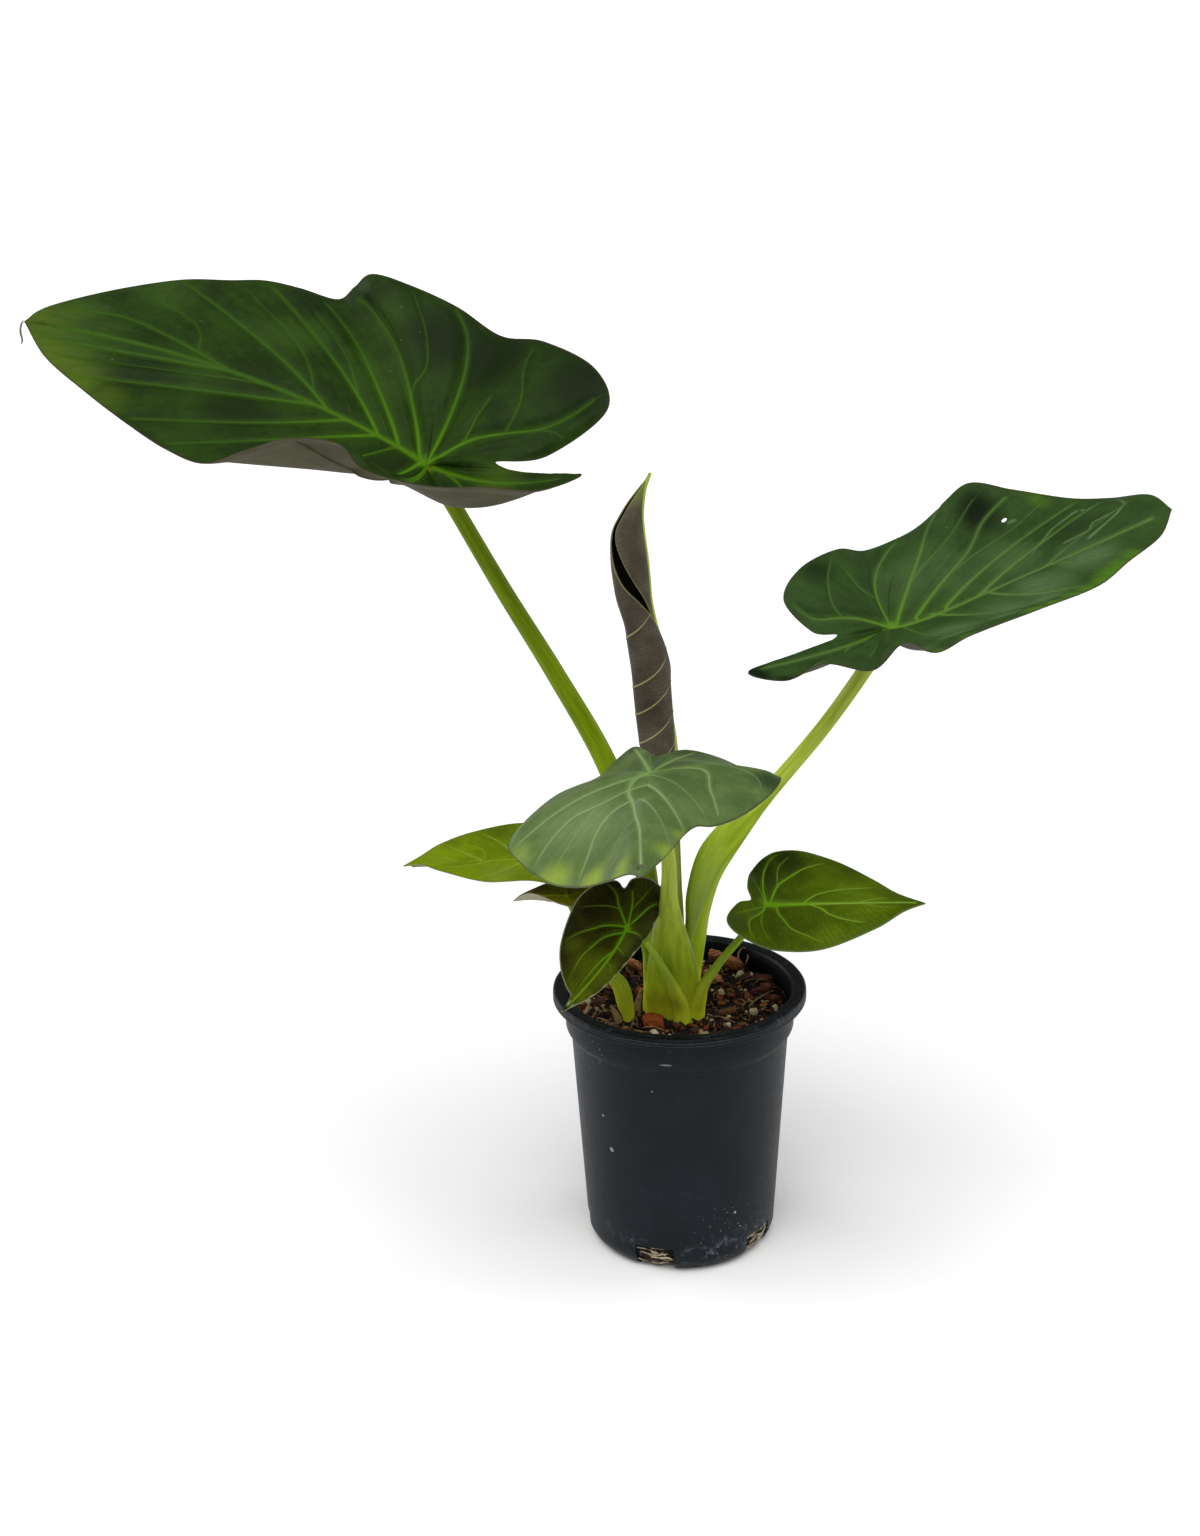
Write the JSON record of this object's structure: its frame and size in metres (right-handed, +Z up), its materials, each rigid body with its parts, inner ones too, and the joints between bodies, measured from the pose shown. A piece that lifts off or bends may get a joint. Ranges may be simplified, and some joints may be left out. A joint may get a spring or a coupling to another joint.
{
  "type": "potted plant",
  "caption": "Potted alocasia: dark shield-shaped leaves with pale veins on long bare stalks and a rolled new leaf, in a plain black nursery pot of bark mix.",
  "frame": {"origin": "centre of the pot's underside, on the surface it stands on", "axes": "+Z up, -Y towards the viewer of the picture, +X to the right"},
  "size_m": [0.7183, 0.387, 0.6219],
  "materials": {
    "pot_plastic": "satin, dusty",
    "bark_mix": "rough, moist",
    "root": "matte",
    "stalk": "satin",
    "leaf": "satin",
    "rolled_leaf": "matte",
    "dry_sheath": "matte"
  },
  "bodies": {
    "root": {"pot": "pot_plastic", "potting_mix": "bark_mix", "rootstock": "root", "leaf_upper_left_stalk": "stalk", "leaf_upper_right_stalk": "stalk", "leaf_front_stalk": "stalk", "leaf_rolled_stalk": "stalk", "leaf_low_front_stalk": "stalk", "leaf_low_right_stalk": "stalk", "leaf_left_stalk": "stalk", "leaf_offset_stalk": "stalk", "leaf_upper_left_blade": "leaf", "leaf_upper_right_blade": "leaf", "leaf_front_blade": "leaf", "leaf_low_front_blade": "leaf", "leaf_low_right_blade": "leaf", "leaf_left_blade": "leaf", "leaf_offset_blade": "leaf", "leaf_rolled_blade": "rolled_leaf", "dry_scale_left": "dry_sheath", "dry_scale_right": "dry_sheath"}
  },
  "joints": []
}
